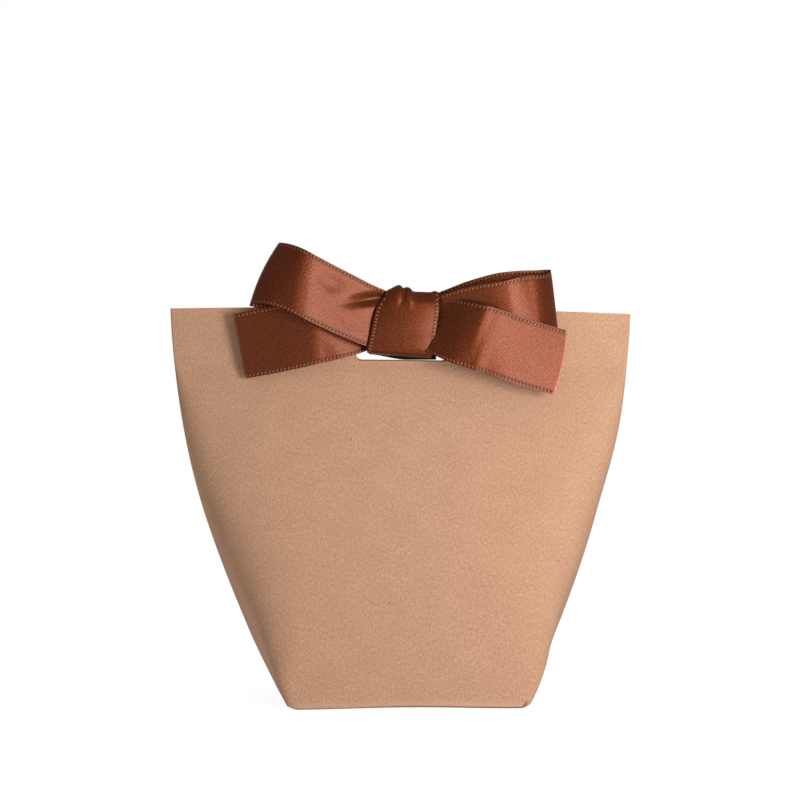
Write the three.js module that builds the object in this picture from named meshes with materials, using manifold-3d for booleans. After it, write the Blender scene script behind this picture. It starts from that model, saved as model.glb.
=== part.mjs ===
// Gift bag folded from one sheet of kraft card, closed at the top by a satin ribbon bow.
// Millimetres, +Z up, the front faces -Y. The origin is on the floor under the middle of the base.
import * as THREE from "three";
import { mergeVertices } from "three/addons/utils/BufferGeometryUtils.js";
import Module from "manifold-3d";

const wasm = await Module();
wasm.setup();

// Card bag. The sheet can't stretch, so the flat top is as wide as half the way round the base.
const BASE_WIDTH = 80;
const BASE_DEPTH = 85;
const BAG_HEIGHT = 138;
const BOARD = 0.5;
const CLEARANCE = 0.3;
const SIDE_BULGE = 3; // how far the middle of a side stands proud of its corners
const SIDE_CURVE = 0.9; // 1 makes the side crease a quarter sine, 0 makes it straight
const FRONT_CURVE = 1.1; // 1 makes the walls flat seen from the side, more makes them hollow
const BASE_CORNER = 2.5; // corner radius on the floor
const SOFT_CORNER = 9; // corner radius where the card bends freely
const SOFTENING = 50; // height at which the corners reach that radius
const CORNER_SHARE = 0.7; // most of a side wall that a corner may take up
const CROWN = 1.2; // how much lower the top edge is at its ends than in the middle

// Slot that the ribbon goes through, and the closed lip above it.
const SLOT_HEIGHT = 7;
const SLOT_DROP = 11.6; // card left between the slot and the top edge
const SLOT_PLAY = 4; // room beside the ribbon at each end of the slot
const SLOT_CORNER = 2;
const PINCH_BELOW_SLOT = 1.4;
const GUSSET_BELOW_PINCH = 6;

// Flaps that close the base, and the tab that closes the sheet into a tube.
const FRONT_FLAP_LENGTH = 62;
const BACK_FLAP_LENGTH = 40;
const DUST_FLAP_LENGTH = 34;
const FLAP_CORNER = 8;
const FLAP_SIDE_TAPER = 1.5;
const DUST_TAPER = 0.75; // how fast a dust flap narrows, per millimetre of its length
const TAB_WIDTH = 12;
const TAB_TAPER = 4;
const TAB_FROM_CREASE = 1.5;
const TAB_BOTTOM = 5;
const TAB_TOP = 94;

// Satin ribbon and its bow.
const RIBBON_WIDTH = 25;
const RIBBON = 0.4;
const GATHERED_WIDTH = 21.5; // width of the ribbon where the knot grips it
const KNOT_HEIGHT = 24;
const KNOT_DEPTH = 8;
const KNOT_ROUNDING = 3.2;
const KNOT_ABOVE_SLOT = 2.1; // foot of the knot, over the slot's lower edge
const KNOT_LEFT = { foot: -12, head: -6 }; // where the knot's edges are, to the right of middle
const KNOT_RIGHT = { foot: 10.8, head: 12.5 };
const ROOT_GAP = 0.5; // between the knot and the ribbon that comes out of it

// How the loops and tails leave the knot: length, degrees upward and forward, depth from the
// back of the knot, height over its middle, and how far they bend out of a straight line.
const LEFT_LOOP = { reach: 43, tilt: 22, lean: 10, depth: 5.2, rise: -0.4, belly: 6.5 };
const RIGHT_LOOP = { reach: 42.5, tilt: 7, lean: 8, depth: 3.6, rise: 0.4, belly: 4.8 };
const LEFT_TAIL = { reach: 49, tilt: -10.5, lean: 0, depth: 1.6, rise: 0, belly: 1 };
const RIGHT_TAIL = { reach: 44, tilt: -14.5, lean: 11, depth: 6.6, rise: -3.2, belly: 1.6 };

// Resolution
const WALL_ROWS = 12;
const FRONT_COLUMNS = [0, 0.3, 0.6, 0.8, 0.9, 0.95, 1];
const GUSSET_COLUMNS = [0, 0.08, 0.18, 0.35, 0.65, 1];
const LOOP_STEPS = 32;
const TAIL_STEPS = 12;
const ROUND_STEPS = 8;
const OVERCUT = 2; // how far a cut runs past what it cuts

// Sizes that follow
const baseReach = BASE_WIDTH / 2 + SIDE_BULGE;
const topReach = (BASE_WIDTH + BASE_DEPTH) / 2;
const lip = (BOARD + CLEARANCE) / 2; // from the middle of the bag to the middle of a closed wall
const slotWidth = RIBBON_WIDTH + 2 * SLOT_PLAY;
const slotTop = BAG_HEIGHT - SLOT_DROP;
const slotBottom = slotTop - SLOT_HEIGHT;
const pinchHeight = slotBottom - PINCH_BELOW_SLOT;
const gussetTop = pinchHeight - GUSSET_BELOW_PINCH;
const knotBottom = slotBottom + KNOT_ABOVE_SLOT;
const bandInner = lip + BOARD / 2 + CLEARANCE;
const knotBack = bandInner + RIBBON + CLEARANCE;
const degrees = Math.PI / 180;

const kraft = { color: 0xc4906a, roughness: 0.9, metalness: 0 };
const kraftInside = { color: 0xb98862, roughness: 0.95, metalness: 0 };
const satin = { color: 0x7a3c22, roughness: 0.38, metalness: 0 };

const bag = new THREE.Group();

function add(name, geometry, material) {
  const mesh = new THREE.Mesh(geometry, new THREE.MeshStandardMaterial(material));
  mesh.name = name;
  bag.add(mesh);
  return mesh;
}

function steps(count) {
  return Array.from({ length: count + 1 }, (_, i) => i / count);
}

// A sheet of the given thickness about the surface point(u, v), as one closed body.
// Its normal is worked out from two short steps on the surface.
function sheet(us, vs, point, thickness) {
  const small = 1e-3;
  const positions = [];
  for (const side of [0.5, -0.5]) {
    for (const u of us) {
      for (const v of vs) {
        const alongU = point(u + small, v).sub(point(u - small, v));
        const alongV = point(u, v + small).sub(point(u, v - small));
        const normal = alongU.cross(alongV).normalize();
        positions.push(...point(u, v).addScaledVector(normal, side * thickness));
      }
    }
  }
  const rows = us.length;
  const columns = vs.length;
  const layer = rows * columns;
  const at = (row, column) => row * columns + column;
  const faces = [];
  const quad = (a, b, c, d) => faces.push(a, b, c, a, c, d);
  for (let r = 0; r + 1 < rows; r++) {
    for (let c = 0; c + 1 < columns; c++) {
      quad(at(r, c), at(r + 1, c), at(r + 1, c + 1), at(r, c + 1));
      quad(at(r, c) + layer, at(r, c + 1) + layer, at(r + 1, c + 1) + layer, at(r + 1, c) + layer);
    }
  }
  const rim = [];
  for (let c = 0; c < columns - 1; c++) rim.push(at(0, c));
  for (let r = 0; r < rows - 1; r++) rim.push(at(r, columns - 1));
  for (let c = columns - 1; c > 0; c--) rim.push(at(rows - 1, c));
  for (let r = rows - 1; r > 0; r--) rim.push(at(r, 0));
  rim.forEach((a, i) => {
    const b = rim[(i + 1) % rim.length];
    quad(a, b, b + layer, a + layer);
  });
  const geometry = new THREE.BufferGeometry();
  geometry.setAttribute("position", new THREE.Float32BufferAttribute(positions, 3));
  geometry.setIndex(faces);
  return facingOut(geometry);
}

// Turns every face round if the body is inside out.
function facingOut(geometry) {
  const p = geometry.getAttribute("position");
  const index = geometry.index;
  const [a, b, c] = [new THREE.Vector3(), new THREE.Vector3(), new THREE.Vector3()];
  let volume = 0;
  for (let i = 0; i < index.count; i += 3) {
    a.fromBufferAttribute(p, index.getX(i));
    b.fromBufferAttribute(p, index.getX(i + 1));
    c.fromBufferAttribute(p, index.getX(i + 2));
    volume += a.dot(b.cross(c));
  }
  if (volume < 0) index.array.reverse();
  geometry.computeVertexNormals();
  return geometry;
}

function toSolid(geometry) {
  const bare = geometry.clone();
  bare.deleteAttribute("normal");
  bare.deleteAttribute("uv");
  const merged = mergeVertices(bare, 1e-4);
  return new wasm.Manifold(
    new wasm.Mesh({
      numProp: 3,
      vertProperties: merged.getAttribute("position").array,
      triVerts: new Uint32Array(merged.index.array),
    }),
  );
}

function toGeometry(solid) {
  const mesh = solid.getMesh();
  const geometry = new THREE.BufferGeometry();
  geometry.setAttribute("position", new THREE.Float32BufferAttribute(mesh.vertProperties, 3));
  geometry.setIndex(new THREE.BufferAttribute(mesh.triVerts, 1));
  geometry.computeVertexNormals();
  return geometry;
}

// Card walls. How far the side crease stands from the middle plane, at a height.
function sideReach(z) {
  const share = z / BAG_HEIGHT;
  const curve = SIDE_CURVE * Math.sin((Math.PI / 2) * share) + (1 - SIDE_CURVE) * share;
  return baseReach + (topReach - baseReach) * curve;
}

// How far the front wall stands from the middle plane, at a height. It is shut above the pinch.
function frontReach(z) {
  const open = Math.max(0, 1 - z / pinchHeight);
  return lip + (BASE_DEPTH / 2 - lip) * open ** FRONT_CURVE;
}

// The quarter of the bag's level section from the middle of the front to the side crease:
// a flat, a round corner and a straight side wall, by their lengths.
function section(z) {
  const side = sideReach(z);
  const front = frontReach(z);
  if (front <= lip) return { front, flat: side, radius: 1, turn: 0, arc: 0, length: side };
  const bulge = SIDE_BULGE * (1 - (z / pinchHeight) ** 2);
  const leaning = bulge / Math.hypot(bulge, front);
  const depth = front - (CLEARANCE + BOARD * leaning) / 2;
  const wall = Math.hypot(bulge, depth);
  const turn = Math.atan2(depth, bulge);
  const grown = Math.min(1, Math.max(0, z / SOFTENING));
  const wanted = BASE_CORNER + (SOFT_CORNER - BASE_CORNER) * grown;
  const radius = Math.min(wanted, (CORNER_SHARE * wall) / Math.tan(turn / 2));
  const tangent = radius * Math.tan(turn / 2);
  const flat = side - bulge - tangent;
  const arc = radius * turn;
  return { front, flat, radius, turn, arc, length: flat + arc + wall - tangent };
}

// Point of the front wall's middle surface on the right half: along the section, at a height.
function wallPoint(along, z) {
  const s = section(z);
  if (along <= s.flat) return new THREE.Vector3(along, -s.front, z);
  const turned = Math.min(along - s.flat, s.arc) / s.radius;
  const straight = Math.max(0, along - s.flat - s.arc);
  return new THREE.Vector3(
    s.flat + s.radius * Math.sin(turned) + straight * Math.cos(turned),
    -s.front + s.radius * (1 - Math.cos(turned)) + straight * Math.sin(turned),
    z,
  );
}

// Where the front panel ends and the gusset starts: the middle of the round corner.
function ridge(z) {
  const s = section(z);
  return s.flat + s.arc / 2;
}

// The cut edge at the top is a little lower towards its ends, and all below goes with it.
function crowned(z, along) {
  return z * (1 - (CROWN / BAG_HEIGHT) * (along / topReach) ** 2);
}

// Front and back panels reach to the ridge, and above the gussets to the side crease.
const panelHeights = [
  ...steps(WALL_ROWS).map((share) => share * gussetTop),
  gussetTop + CLEARANCE,
  pinchHeight,
  BAG_HEIGHT,
];
const bothSides = [...FRONT_COLUMNS.slice(1).reverse().map((v) => -v), ...FRONT_COLUMNS];

function panelEdge(z) {
  const blend = THREE.MathUtils.clamp((z - gussetTop) / CLEARANCE, 0, 1);
  return THREE.MathUtils.lerp(ridge(z) - CLEARANCE / 2, section(z).length, blend);
}

function widePanel(mirrorY) {
  const point = (z, column) => {
    const along = panelEdge(z) * Math.abs(column);
    const p = wallPoint(along, crowned(z, along));
    return new THREE.Vector3(p.x * Math.sign(column), p.y * mirrorY, p.z);
  };
  return sheet(panelHeights, bothSides, point, BOARD);
}

// A rectangle with round corners, spanning -halfWidth to +halfWidth and bottom to top.
function roundedBox(halfWidth, bottom, top, corner) {
  const shape = new THREE.Shape();
  shape.absarc(corner - halfWidth, top - corner, corner, Math.PI, Math.PI / 2, true);
  shape.absarc(halfWidth - corner, top - corner, corner, Math.PI / 2, 0, true);
  shape.absarc(halfWidth - corner, bottom + corner, corner, 0, -Math.PI / 2, true);
  shape.absarc(corner - halfWidth, bottom + corner, corner, -Math.PI / 2, -Math.PI, true);
  return shape;
}

// Extrudes a shape to the given depth. Its own X and Y stay, and the depth goes up Z.
function plate(shape, depth) {
  return new THREE.ExtrudeGeometry(shape, {
    depth,
    bevelEnabled: false,
    curveSegments: ROUND_STEPS,
  });
}

function slotCutter() {
  const depth = 2 * (lip + BOARD / 2 + OVERCUT);
  const cutter = plate(roundedBox(slotWidth / 2, slotBottom, slotTop, SLOT_CORNER), depth);
  cutter.rotateX(Math.PI / 2);
  cutter.translate(0, depth / 2, 0);
  return toSolid(cutter);
}

const slot = slotCutter();
add("front_panel", toGeometry(toSolid(widePanel(1)).subtract(slot)), kraft);
add("back_panel", toGeometry(toSolid(widePanel(-1)).subtract(slot)), kraft);

// Each side is two halves that meet at its crease.
const gussetHeights = steps(WALL_ROWS).map((share) => share * (gussetTop - CLEARANCE));

function gusset(mirrorX, mirrorY) {
  const point = (z, column) => {
    const along = THREE.MathUtils.lerp(ridge(z) + CLEARANCE / 2, section(z).length, column);
    const p = wallPoint(along, crowned(z, along));
    return new THREE.Vector3(p.x * mirrorX, p.y * mirrorY, p.z);
  };
  return sheet(gussetHeights, GUSSET_COLUMNS, point, BOARD);
}

for (const [side, mirrorX] of [["left", -1], ["right", 1]]) {
  for (const [half, mirrorY] of [["front", 1], ["back", -1]]) {
    add(`${side}_gusset_${half}`, gusset(mirrorX, mirrorY), kraft);
  }
}

// The tab continues the front half past the left crease, and is glued inside the back half.
function glueTab() {
  const inward = BOARD + CLEARANCE;
  const point = (z, column) => {
    const fromEnd = Math.min(z - TAB_BOTTOM, TAB_TOP - z);
    const width = TAB_WIDTH - TAB_TAPER * Math.max(0, 1 - fromEnd / TAB_TAPER);
    const along = section(z).length - TAB_FROM_CREASE - width * column;
    const small = 0.05;
    const ahead = wallPoint(along + small, z).sub(wallPoint(along - small, z));
    const p = wallPoint(along, z);
    const inwards = new THREE.Vector3(-ahead.y, ahead.x, 0).normalize();
    p.addScaledVector(inwards, inward);
    return new THREE.Vector3(-p.x, -p.y, p.z);
  };
  const ends = [TAB_BOTTOM, TAB_BOTTOM + TAB_TAPER];
  const middle = steps(WALL_ROWS).map((share) => {
    return THREE.MathUtils.lerp(ends[1], TAB_TOP - TAB_TAPER, share);
  });
  return sheet([ends[0], ...middle, TAB_TOP], steps(ROUND_STEPS), point, BOARD);
}

add("glue_tab", glueTab(), kraftInside);

// Base flaps lie one on another: the front flap is the lowest, and the dust flaps are on top.
const layer = BOARD + CLEARANCE;
const wallSlope = (BASE_DEPTH / 2 - lip) * FRONT_CURVE / pinchHeight;
const flapHalfWidth = BASE_WIDTH / 2 - BASE_CORNER - CLEARANCE;

// Outline of a flap that starts at `near` from its crease, with rounded far corners.
// The crease may bow outwards in the middle.
function flapShape(near, length, halfWidth, taper, corner, bow) {
  const end = halfWidth - taper;
  const shape = new THREE.Shape();
  shape.moveTo(-halfWidth, near);
  if (bow > 0) shape.lineTo(0, near - bow);
  shape.lineTo(halfWidth, near);
  shape.lineTo(end, length - corner);
  shape.quadraticCurveTo(end, length, end - corner, length);
  shape.lineTo(corner - end, length);
  shape.quadraticCurveTo(-end, length, -end, length - corner);
  shape.closePath();
  return shape;
}

function flapGeometry(shape, level) {
  const geometry = plate(shape, BOARD);
  geometry.translate(0, 0, level);
  return geometry;
}

function creaseRoom(level) {
  return BOARD / 2 + wallSlope * (level + BOARD) + CLEARANCE;
}

function closingFlap(length, level) {
  const near = creaseRoom(level) + (level > 0 ? CLEARANCE : 0);
  const shape = flapShape(near, length, flapHalfWidth, FLAP_SIDE_TAPER, FLAP_CORNER, 0);
  return flapGeometry(shape, level);
}

const frontFlap = closingFlap(FRONT_FLAP_LENGTH, 0);
frontFlap.translate(0, -BASE_DEPTH / 2, 0);
add("base_front_flap", frontFlap, kraft);

const backFlap = closingFlap(BACK_FLAP_LENGTH, layer);
backFlap.rotateZ(Math.PI);
backFlap.translate(0, BASE_DEPTH / 2, 0);
add("base_back_flap", backFlap, kraft);

const dustShape = flapShape(
  BOARD / 2 + 2 * CLEARANCE,
  DUST_FLAP_LENGTH,
  BASE_DEPTH / 2 - BASE_CORNER - creaseRoom(2 * layer),
  DUST_TAPER * DUST_FLAP_LENGTH,
  FLAP_SIDE_TAPER,
  SIDE_BULGE - 2 * CLEARANCE,
);
for (const [side, direction] of [["left", -1], ["right", 1]]) {
  const flap = flapGeometry(dustShape, 2 * layer);
  flap.rotateZ((direction * Math.PI) / 2);
  flap.translate((direction * BASE_WIDTH) / 2, 0, 0);
  add(`${side}_dust_flap`, flap, kraftInside);
}

// The ribbon goes round the lip of the bag: over the top edge and back through the slot.
// An outline drawn in (y, z) is extruded along X, centred on the middle of the bag.
function alongX(shape, width) {
  const geometry = plate(shape, width);
  geometry.translate(0, 0, -width / 2);
  geometry.rotateX(Math.PI / 2);
  geometry.rotateZ(Math.PI / 2);
  return geometry;
}

const bandTop = BAG_HEIGHT + CLEARANCE;
const bandBottom = slotTop - CLEARANCE;

function bandLayer(grown, width) {
  const half = bandInner + grown;
  const corner = half - CLEARANCE;
  return toSolid(alongX(roundedBox(half, bandBottom - grown, bandTop + grown, corner), width));
}

const band = bandLayer(RIBBON, RIBBON_WIDTH).subtract(bandLayer(0, RIBBON_WIDTH + OVERCUT));
add("ribbon_band", toGeometry(band), satin);

// The knot's edges lean, so its width changes with height. The outline is extruded first, and
// then its two ends move out to the edges.
const knotMiddle = knotBottom + KNOT_HEIGHT / 2;

function knotEdge(edge, z) {
  return THREE.MathUtils.mapLinear(z, knotBottom, knotBottom + KNOT_HEIGHT, edge.foot, edge.head);
}

function knot() {
  const top = knotBottom + KNOT_HEIGHT;
  const outline = roundedBox(KNOT_DEPTH / 2, knotBottom, top, KNOT_ROUNDING);
  const geometry = alongX(outline, 1);
  const p = geometry.getAttribute("position");
  for (let i = 0; i < p.count; i++) {
    const z = p.getZ(i);
    const edge = p.getX(i) < 0 ? KNOT_LEFT : KNOT_RIGHT;
    p.setXYZ(i, knotEdge(edge, z), p.getY(i) - knotBack - KNOT_DEPTH / 2, z);
  }
  return geometry;
}

add("bow_knot", knot(), satin);

// A strip of ribbon that leaves the knot on one side. path(t) gives how far out and how far
// forward it is. It is gathered at the knot, where its end follows the knot's edge.
function strip(piece, direction, path, ts) {
  const edge = direction < 0 ? KNOT_LEFT : KNOT_RIGHT;
  const rootTurn = Math.atan2(edge.head - edge.foot, KNOT_HEIGHT);
  const freeTurn = -direction * piece.tilt * degrees;
  const rootHeight = knotMiddle + piece.rise;
  const root = new THREE.Vector3(knotEdge(edge, rootHeight) + direction * ROOT_GAP, 0, rootHeight);
  const outward = new THREE.Vector3(Math.cos(freeTurn), 0, -Math.sin(freeTurn));
  outward.multiplyScalar(direction);
  const point = (t, v) => {
    const { out, fore } = path(t);
    const free = THREE.MathUtils.smoothstep(out, 0, piece.reach / 2);
    const turn = THREE.MathUtils.lerp(rootTurn, freeTurn, free);
    const width = THREE.MathUtils.lerp(GATHERED_WIDTH, RIBBON_WIDTH, free);
    const across = new THREE.Vector3(Math.sin(turn), 0, Math.cos(turn));
    const p = root.clone().addScaledVector(outward, out);
    p.addScaledVector(across, (v - 0.5) * width);
    p.y = -knotBack - piece.depth - fore - out * Math.sin(piece.lean * degrees);
    return p;
  };
  return sheet(ts, steps(2), point, RIBBON);
}

// Out and back in a teardrop, shut at the knot and round at the far end.
function loopPath(piece) {
  const legs = (RIBBON + CLEARANCE) / 2;
  return (t) => {
    const turn = 2 * Math.PI * t;
    return {
      out: (piece.reach * (1 - Math.cos(turn))) / 2,
      fore: piece.belly * Math.sin(turn) * Math.sin(turn / 2) + legs * Math.cos(turn / 2),
    };
  };
}

// Out in one lazy wave.
function tailPath(piece) {
  return (t) => ({ out: piece.reach * t, fore: piece.belly * Math.sin(Math.PI * t) });
}

const loopSteps = steps(LOOP_STEPS);
const tailSteps = steps(TAIL_STEPS);
add("left_loop", strip(LEFT_LOOP, -1, loopPath(LEFT_LOOP), loopSteps), satin);
add("right_loop", strip(RIGHT_LOOP, 1, loopPath(RIGHT_LOOP), loopSteps), satin);
add("left_tail", strip(LEFT_TAIL, -1, tailPath(LEFT_TAIL), tailSteps), satin);
add("right_tail", strip(RIGHT_TAIL, 1, tailPath(RIGHT_TAIL), tailSteps), satin);

export default bag;
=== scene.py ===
# %% [markdown]
# # A kraft card gift bag with a satin bow
# The bag is one sheet of brown card, folded to a flat lip that a satin ribbon ties shut.
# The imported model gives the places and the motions, and this lesson makes the looks. Shapes are
# worked out in millimetres, as on a drawing, and one helper turns them into Blender's metres.

import math

import bmesh
import bpy
import numpy as np
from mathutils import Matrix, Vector


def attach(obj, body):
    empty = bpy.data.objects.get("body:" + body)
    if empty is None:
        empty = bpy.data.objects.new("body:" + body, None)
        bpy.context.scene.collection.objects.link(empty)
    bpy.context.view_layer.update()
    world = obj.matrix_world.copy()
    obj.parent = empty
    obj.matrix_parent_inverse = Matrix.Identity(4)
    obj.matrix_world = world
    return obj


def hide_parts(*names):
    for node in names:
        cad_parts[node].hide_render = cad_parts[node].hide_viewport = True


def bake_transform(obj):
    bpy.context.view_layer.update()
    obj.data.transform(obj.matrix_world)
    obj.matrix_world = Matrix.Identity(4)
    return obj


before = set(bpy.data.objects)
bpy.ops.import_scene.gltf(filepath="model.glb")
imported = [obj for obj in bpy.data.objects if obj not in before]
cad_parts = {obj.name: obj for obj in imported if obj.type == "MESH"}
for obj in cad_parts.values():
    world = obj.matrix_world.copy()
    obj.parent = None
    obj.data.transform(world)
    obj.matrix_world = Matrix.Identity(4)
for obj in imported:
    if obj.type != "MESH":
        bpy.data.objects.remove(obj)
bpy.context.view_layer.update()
scene = bpy.context.scene


def add_object(name, data):
    """Puts a new object into the scene."""
    obj = bpy.data.objects.new(name, data)
    scene.collection.objects.link(obj)
    return obj


# %% [markdown]
# ## Camera
# The view is level with the upper part of the bag and three degrees from straight on, from far
# enough away that the bag hardly tapers. A camera can be aimed with a constraint, but a place and
# a turn that are written down are easier to check.

# %% Camera
MM = 0.001
VIEW_TURN = math.radians(-3)
VIEW_DISTANCE = 800 * MM
VIEW_HEIGHT = 105 * MM
VIEW_ASIDE = -0.54 * MM  # sideways, so that the bag stands a little right of the middle
LENS = 100.44

camera = add_object("camera", bpy.data.cameras.new("camera"))
camera.location = (
    VIEW_DISTANCE * math.sin(VIEW_TURN) + VIEW_ASIDE * math.cos(VIEW_TURN),
    -VIEW_DISTANCE * math.cos(VIEW_TURN) + VIEW_ASIDE * math.sin(VIEW_TURN),
    VIEW_HEIGHT,
)
camera.rotation_euler = (math.pi / 2, 0, VIEW_TURN)
camera.data.lens = LENS
camera.data.sensor_width = 36
scene.camera = camera
scene.view_settings.view_transform = "Standard"
print("camera at", tuple(round(c, 4) for c in camera.location))

# %% [markdown]
# ## Shader maths as Python
# A finish is a small sum: base tone, plus fibres, minus specks. Joining Math nodes by hand hides
# that sum, so one class wraps a socket and lets Python's own operators add the nodes.


# %% Signals
class Signal:
    """A number that changes over a surface: one output socket with Python's operators."""

    def __init__(self, finish, socket):
        self.finish = finish
        self.socket = socket

    def math(self, operation, *others):
        """What a Math node makes of this signal and the others."""
        sockets = dict(enumerate((self, *others)))
        return self.finish.signal("Math", {"operation": operation}, sockets)

    def __add__(self, other):
        return self.math("ADD", other)

    def __sub__(self, other):
        return self.math("SUBTRACT", other)

    def __rsub__(self, other):
        return self.math("MULTIPLY", -1) + other

    def __mul__(self, other):
        return self.math("MULTIPLY", other)

    def __abs__(self):
        return self.math("ABSOLUTE")

    __radd__ = __add__
    __rmul__ = __mul__

    def step(self, low, high):
        """Climbs smoothly from 0 where the signal is low to 1 where it is high."""
        settings = {"interpolation_type": "SMOOTHSTEP"}
        sockets = {"Value": self, "From Min": low, "From Max": high}
        return self.finish.signal("MapRange", settings, sockets)

    def near(self, place, reach):
        """1 where the signal equals place, down to 0 at reach from it."""
        return 1 - abs(self - place).step(0, reach)


# %% [markdown]
# ## Finishes as node trees
# Each finish of the bag is one Principled shader with a few patterns joined to it. It could be
# clicked together in the shader editor, but here every number stays in sight: one method makes a
# node from its type, its settings and its sockets.


# %% Finishes
class Finish:
    """A material, its node tree and short ways to add nodes to it."""

    def __init__(self, name):
        self.material = bpy.data.materials.new(name)
        self.material.use_nodes = True
        self.tree = self.material.node_tree
        self.shader = self.tree.nodes["Principled BSDF"]

    def join(self, socket, source):
        """Links a signal or another socket to the socket, or sets a plain value."""
        if isinstance(source, Signal):
            source = source.socket
        if isinstance(source, bpy.types.NodeSocket):
            self.tree.links.new(source, socket)
        else:
            socket.default_value = source

    def node(self, kind, settings=None, sockets=None):
        """Adds a node, sets its settings, and then sets or links its sockets."""
        made = self.tree.nodes.new("ShaderNode" + kind)
        for key, value in (settings or {}).items():
            setattr(made, key, value)
        for key, value in (sockets or {}).items():
            self.join(made.inputs[key], value)
        return made

    def signal(self, *what, output=0):
        """One output of a new node, as a signal."""
        return Signal(self, self.node(*what).outputs[output])

    def parts(self, kind, source):
        """The numbers of a place (kind XYZ) or a colour (kind Color), as signals."""
        split = self.node("Separate" + kind, None, {0: source})
        return [Signal(self, part) for part in split.outputs]

    def mix(self, share, first, second):
        """first where share is 0 and second where it is 1, as colours."""
        sockets = {0: share, 6: first, 7: second}
        return self.node("Mix", {"data_type": "RGBA"}, sockets).outputs[2]

    def noise(self, place, scale, detail=2, roughness=0.5):
        """Soft random blobs round 0, about a 1/scale wide, in the units of place."""
        sockets = {"Vector": place, "Scale": scale, "Detail": detail, "Roughness": roughness}
        return self.signal("TexNoise", None, sockets) - 0.5

    def sheet_place(self, turn=0, stretch=(1, 1)):
        """The place on the flat sheet in millimetres, from its UV map, turned and stretched."""
        uv = self.node("UVMap", {"uv_map": "flat"}).outputs[0]
        scale = (stretch[0] / MM, stretch[1] / MM, 1)
        sockets = {"Vector": uv, "Rotation": (0, 0, turn), "Scale": scale}
        return self.node("Mapping", None, sockets).outputs[0]

    def bump(self, height, distance):
        """Lets the light see the surface raised by the height, times the distance."""
        relief = self.node("Bump", None, {"Height": height, "Distance": distance, "Strength": 1})
        self.join(self.shader.inputs["Normal"], relief.outputs[0])

    def set(self, **sockets):
        """Sets the shader's sockets. Underlines in the names stand for spaces."""
        for key, value in sockets.items():
            self.join(self.shader.inputs[key.replace("_", " ")], value)


# %% [markdown]
# ## Kraft card
# Kraft card is unbleached wood pulp: a warm tan, mottled with pale and dark fibres, and with a few
# short dark shives. A picture of paper would do, but noise made for the sheet's own flat
# coordinates never repeats and follows the card round its folds. A "wear"
# attribute of the mesh says where a fold is rubbed pale, and where a shadow is painted dark.

# %% Kraft finish
KRAFT = (0.60, 0.333, 0.203, 1)
KRAFT_PALE = (0.80, 0.50, 0.33, 1)
KRAFT_DARK = (0.40, 0.19, 0.105, 1)
SHIVE_AND_SHADOW = (0.13, 0.06, 0.035, 1)
SHIVE_CELL = 7.0  # width of the cells that may hold a dark shive
FIBRE_CELL = 4.1  # and a pale fibre
GRAIN = 3.2  # strength of the mottling by fibres about a millimetre long,
FINE = 2.6  # by the finest fibres,
CLOUD = 0.55  # and in patches about a centimetre wide
MOTTLE = (0.02, 0.72)  # the tone at which a mottle starts to show, and where it is full
KRAFT_RELIEF = 0.06 * MM


def dashes(finish, place, cell, length, thickness, kept):
    """Short bent dashes, one in each kept cell. In a cell's own turned frame a dash is where the
    cross distance, less a bend that grows with the square of the length, is under its thickness."""
    settings = {"voronoi_dimensions": "2D"}
    spots = finish.node("TexVoronoi", settings, {"Vector": place, "Scale": 1 / cell})
    turn, chance, bend = finish.parts("Color", spots.outputs["Color"])
    from_spot = {0: place, 1: spots.outputs["Position"]}
    away = finish.node("VectorMath", {"operation": "SUBTRACT"}, from_spot).outputs[0]
    sockets = {"Vector": away, "Angle": turn * (2 * math.pi)}
    turned = finish.node("VectorRotate", {"rotation_type": "Z_AXIS"}, sockets)
    along, cross, _ = finish.parts("XYZ", turned.outputs[0])
    curve = along * along * ((bend - 0.5) * (1.6 / length))
    line = 1 - abs(cross - curve).step(thickness * 0.4, thickness)
    ends = 1 - abs(along).step(length * 0.35, length * 0.5)
    return line * ends * chance.step(1 - kept, 1 - kept + 0.01)


def kraft(name, shade=1.0):
    """Tan mottled by fine and broad noise, crossed by pale fibres and dark shives. The tone is the
    sum of three noises, each times its strength: above 0 it is pale, and below 0 dark."""
    finish = Finish(name)
    place = finish.sheet_place()
    grain = finish.noise(finish.sheet_place(0.1, (1.25, 0.8)), 1.25, 3, 0.75)
    cloud = finish.noise(place, 0.09, 3, 0.6)
    fine = finish.noise(finish.sheet_place(0.7), 3.0, 2, 0.7)
    tone = grain * GRAIN + fine * FINE + cloud * CLOUD
    shives = dashes(finish, place, SHIVE_CELL, length=1.5, thickness=0.14, kept=0.035)
    fibre_place = finish.sheet_place(0.4)
    fibres = dashes(finish, fibre_place, FIBRE_CELL, length=1.8, thickness=0.12, kept=0.22)
    wear = finish.signal("Attribute", {"attribute_name": "wear"}, output=2)
    plain, pale, dark = (
        (*(shade * part for part in tint[:3]), 1) for tint in (KRAFT, KRAFT_PALE, KRAFT_DARK)
    )
    colour = finish.mix(tone.step(*MOTTLE) * 0.7, plain, pale)
    colour = finish.mix((tone * -1).step(*MOTTLE) * 0.6, colour, dark)
    colour = finish.mix(fibres * 0.3, colour, pale)
    colour = finish.mix(wear.step(0, 1) * 0.4, colour, pale)
    # Painted shadow: below 0 the attribute darkens the card towards the shive colour.
    colour = finish.mix((wear * -1).step(0, 1) * 0.75, colour, SHIVE_AND_SHADOW)
    colour = finish.mix(shives * 0.8, colour, SHIVE_AND_SHADOW)
    finish.set(Base_Color=colour, Roughness=0.82 + grain * 0.15, Specular_IOR_Level=0.25)
    finish.bump(grain + fine * 0.8 + fibres * 0.3 - shives * 0.5, KRAFT_RELIEF)
    return finish.material


kraft_outside = kraft("kraft_card")
kraft_edge = kraft("kraft_cut_edge", 0.6)
print("kraft finishes:", kraft_outside.name, kraft_edge.name)

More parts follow.
